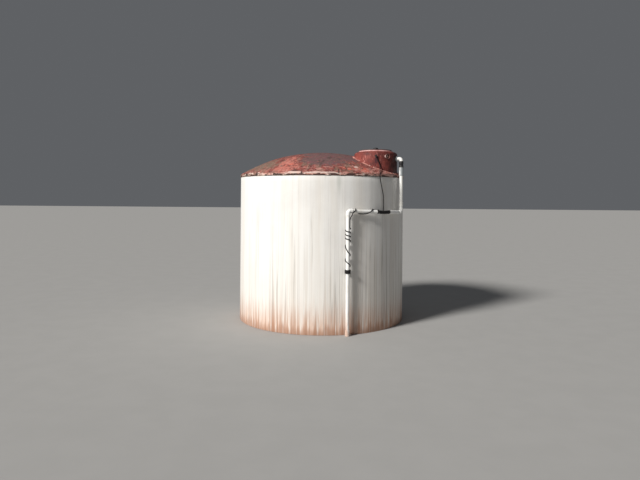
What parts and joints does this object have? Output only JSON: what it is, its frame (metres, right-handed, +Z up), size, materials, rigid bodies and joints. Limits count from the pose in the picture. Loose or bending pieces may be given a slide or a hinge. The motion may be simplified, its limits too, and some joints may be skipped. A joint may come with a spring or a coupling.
{
  "type": "ground-standing fibreglass water storage tank",
  "caption": "Round white fibreglass water tank with a red domed roof, an offset manway neck with a lift-off lid, and a white plastic fill pipe with a float cable wound on it.",
  "frame": {"origin": "centre of the tank's flat underside, on the ground", "axes": "+Z up along the tank's axis, -Y towards the side where the lower pipe stands, +X to the right of it, towards the manway neck"},
  "size_m": [2.4486, 2.4972, 2.5166],
  "materials": {
    "white_gelcoat": "chalky white gelcoat on glass fibre laminate, stained with soil near the ground",
    "red_gelcoat": "faded red-brown gelcoat, worn grey on the crown",
    "bare_laminate": "bare glass fibre laminate with flakes of paint left on it",
    "dark_lid": "dark weathered laminate",
    "white_pipe": "sun-bleached white pipe plastic",
    "black_rubber": "matt black rubber",
    "black_plastic": "matt black moulded plastic",
    "clamp_steel": "dull stainless steel"
  },
  "bodies": {
    "tank": {"wall_segment_01": "white_gelcoat", "wall_segment_02": "white_gelcoat", "wall_segment_03": "white_gelcoat", "wall_segment_04": "white_gelcoat", "wall_segment_05": "white_gelcoat", "wall_segment_06": "white_gelcoat", "wall_segment_07": "white_gelcoat", "wall_segment_08": "white_gelcoat", "wall_segment_09": "white_gelcoat", "wall_segment_10": "white_gelcoat", "wall_segment_11": "white_gelcoat", "wall_segment_12": "white_gelcoat", "tank_floor": "white_gelcoat", "dome_roof": "red_gelcoat", "rim_band_1": "bare_laminate", "rim_band_2": "bare_laminate", "rim_band_3": "bare_laminate", "rim_band_4": "bare_laminate", "neck_wall": "red_gelcoat", "neck_shoulder": "red_gelcoat", "neck_joint_band": "bare_laminate", "inlet_fitting": "white_pipe", "inlet_nipple": "white_pipe", "vent_socket": "white_pipe", "cable_gland": "black_plastic", "inlet_elbow": "white_pipe", "pipe_union": "black_plastic", "upper_coupling": "white_pipe", "upper_riser_pipe": "white_pipe", "riser_collar": "white_pipe", "right_elbow": "white_pipe", "cross_pipe_right": "white_pipe", "rubber_hose": "black_rubber", "hose_clamp_right": "clamp_steel", "hose_clamp_left": "clamp_steel", "cross_pipe_left": "white_pipe", "left_elbow": "white_pipe", "lower_riser_pipe": "white_pipe", "foot_coupling": "white_pipe", "float_cable": "black_rubber", "cable_on_cross_pipe": "black_rubber", "cable_on_riser": "black_rubber", "cable_tape": "black_rubber"},
    "lid": {"manway_lid": "dark_lid", "lid_knob": "black_plastic"}
  },
  "joints": [
    {"name": "lid_lift", "type": "slide", "parent": "tank", "child": "lid", "axis": [0, 0, 1], "range_m": [0, 0.4]}
  ]
}
